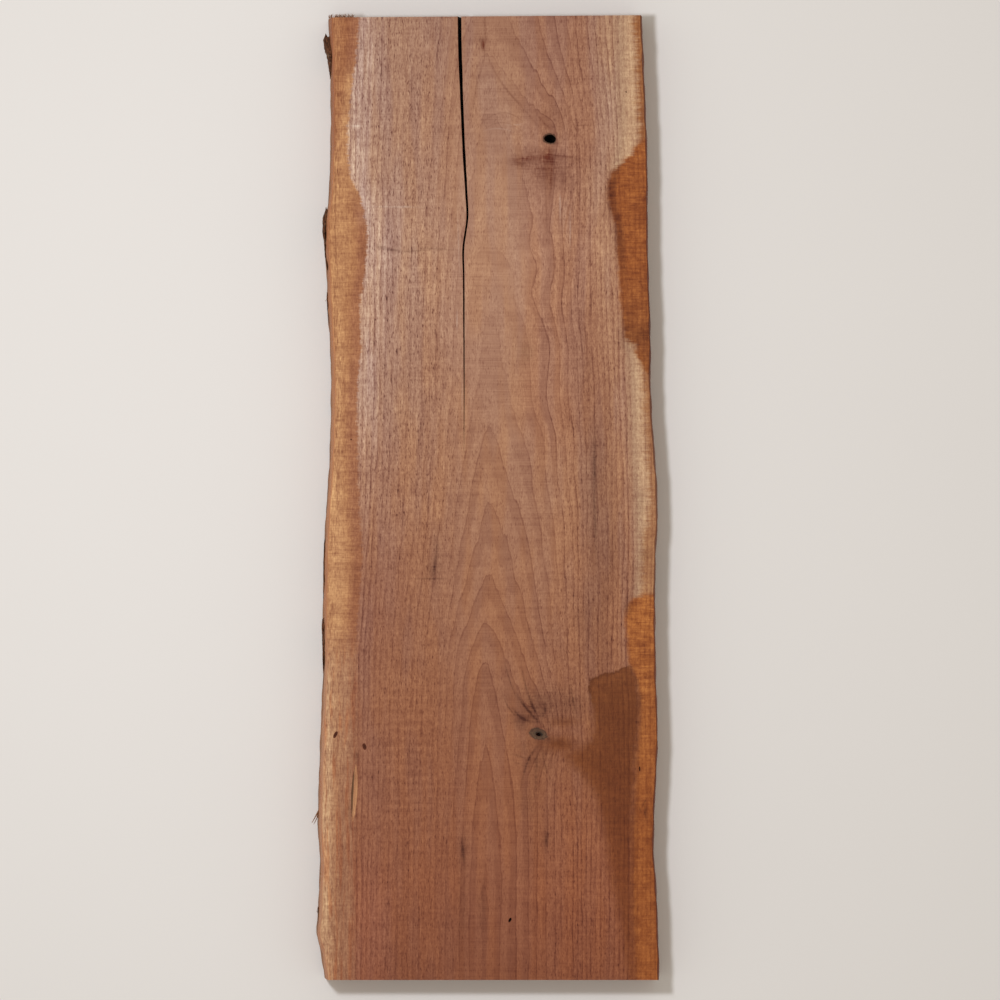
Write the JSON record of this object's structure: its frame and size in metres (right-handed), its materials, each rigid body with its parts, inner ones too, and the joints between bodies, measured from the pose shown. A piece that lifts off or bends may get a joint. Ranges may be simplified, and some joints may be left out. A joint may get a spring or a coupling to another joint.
{
  "type": "walnut wood slab",
  "caption": "Rough-sawn live-edge walnut slab with a long drying crack from its end, an open knot hole, pale sapwood borders and scraps of bark on its edge.",
  "frame": {"origin": "middle of the slab's box on its back face, which it lies on", "axes": "+X across the slab, away from the edge with the bark, +Y along the grain towards the cracked end, +Z out of the show face"},
  "size_m": [0.3745, 1.0499, 0.05],
  "materials": {
    "walnut": "raw rough-sawn walnut, matt, darker and redder at the foot, with tan to cream sapwood edges"
  },
  "bodies": {
    "root": {"slab": "walnut"}
  },
  "joints": []
}
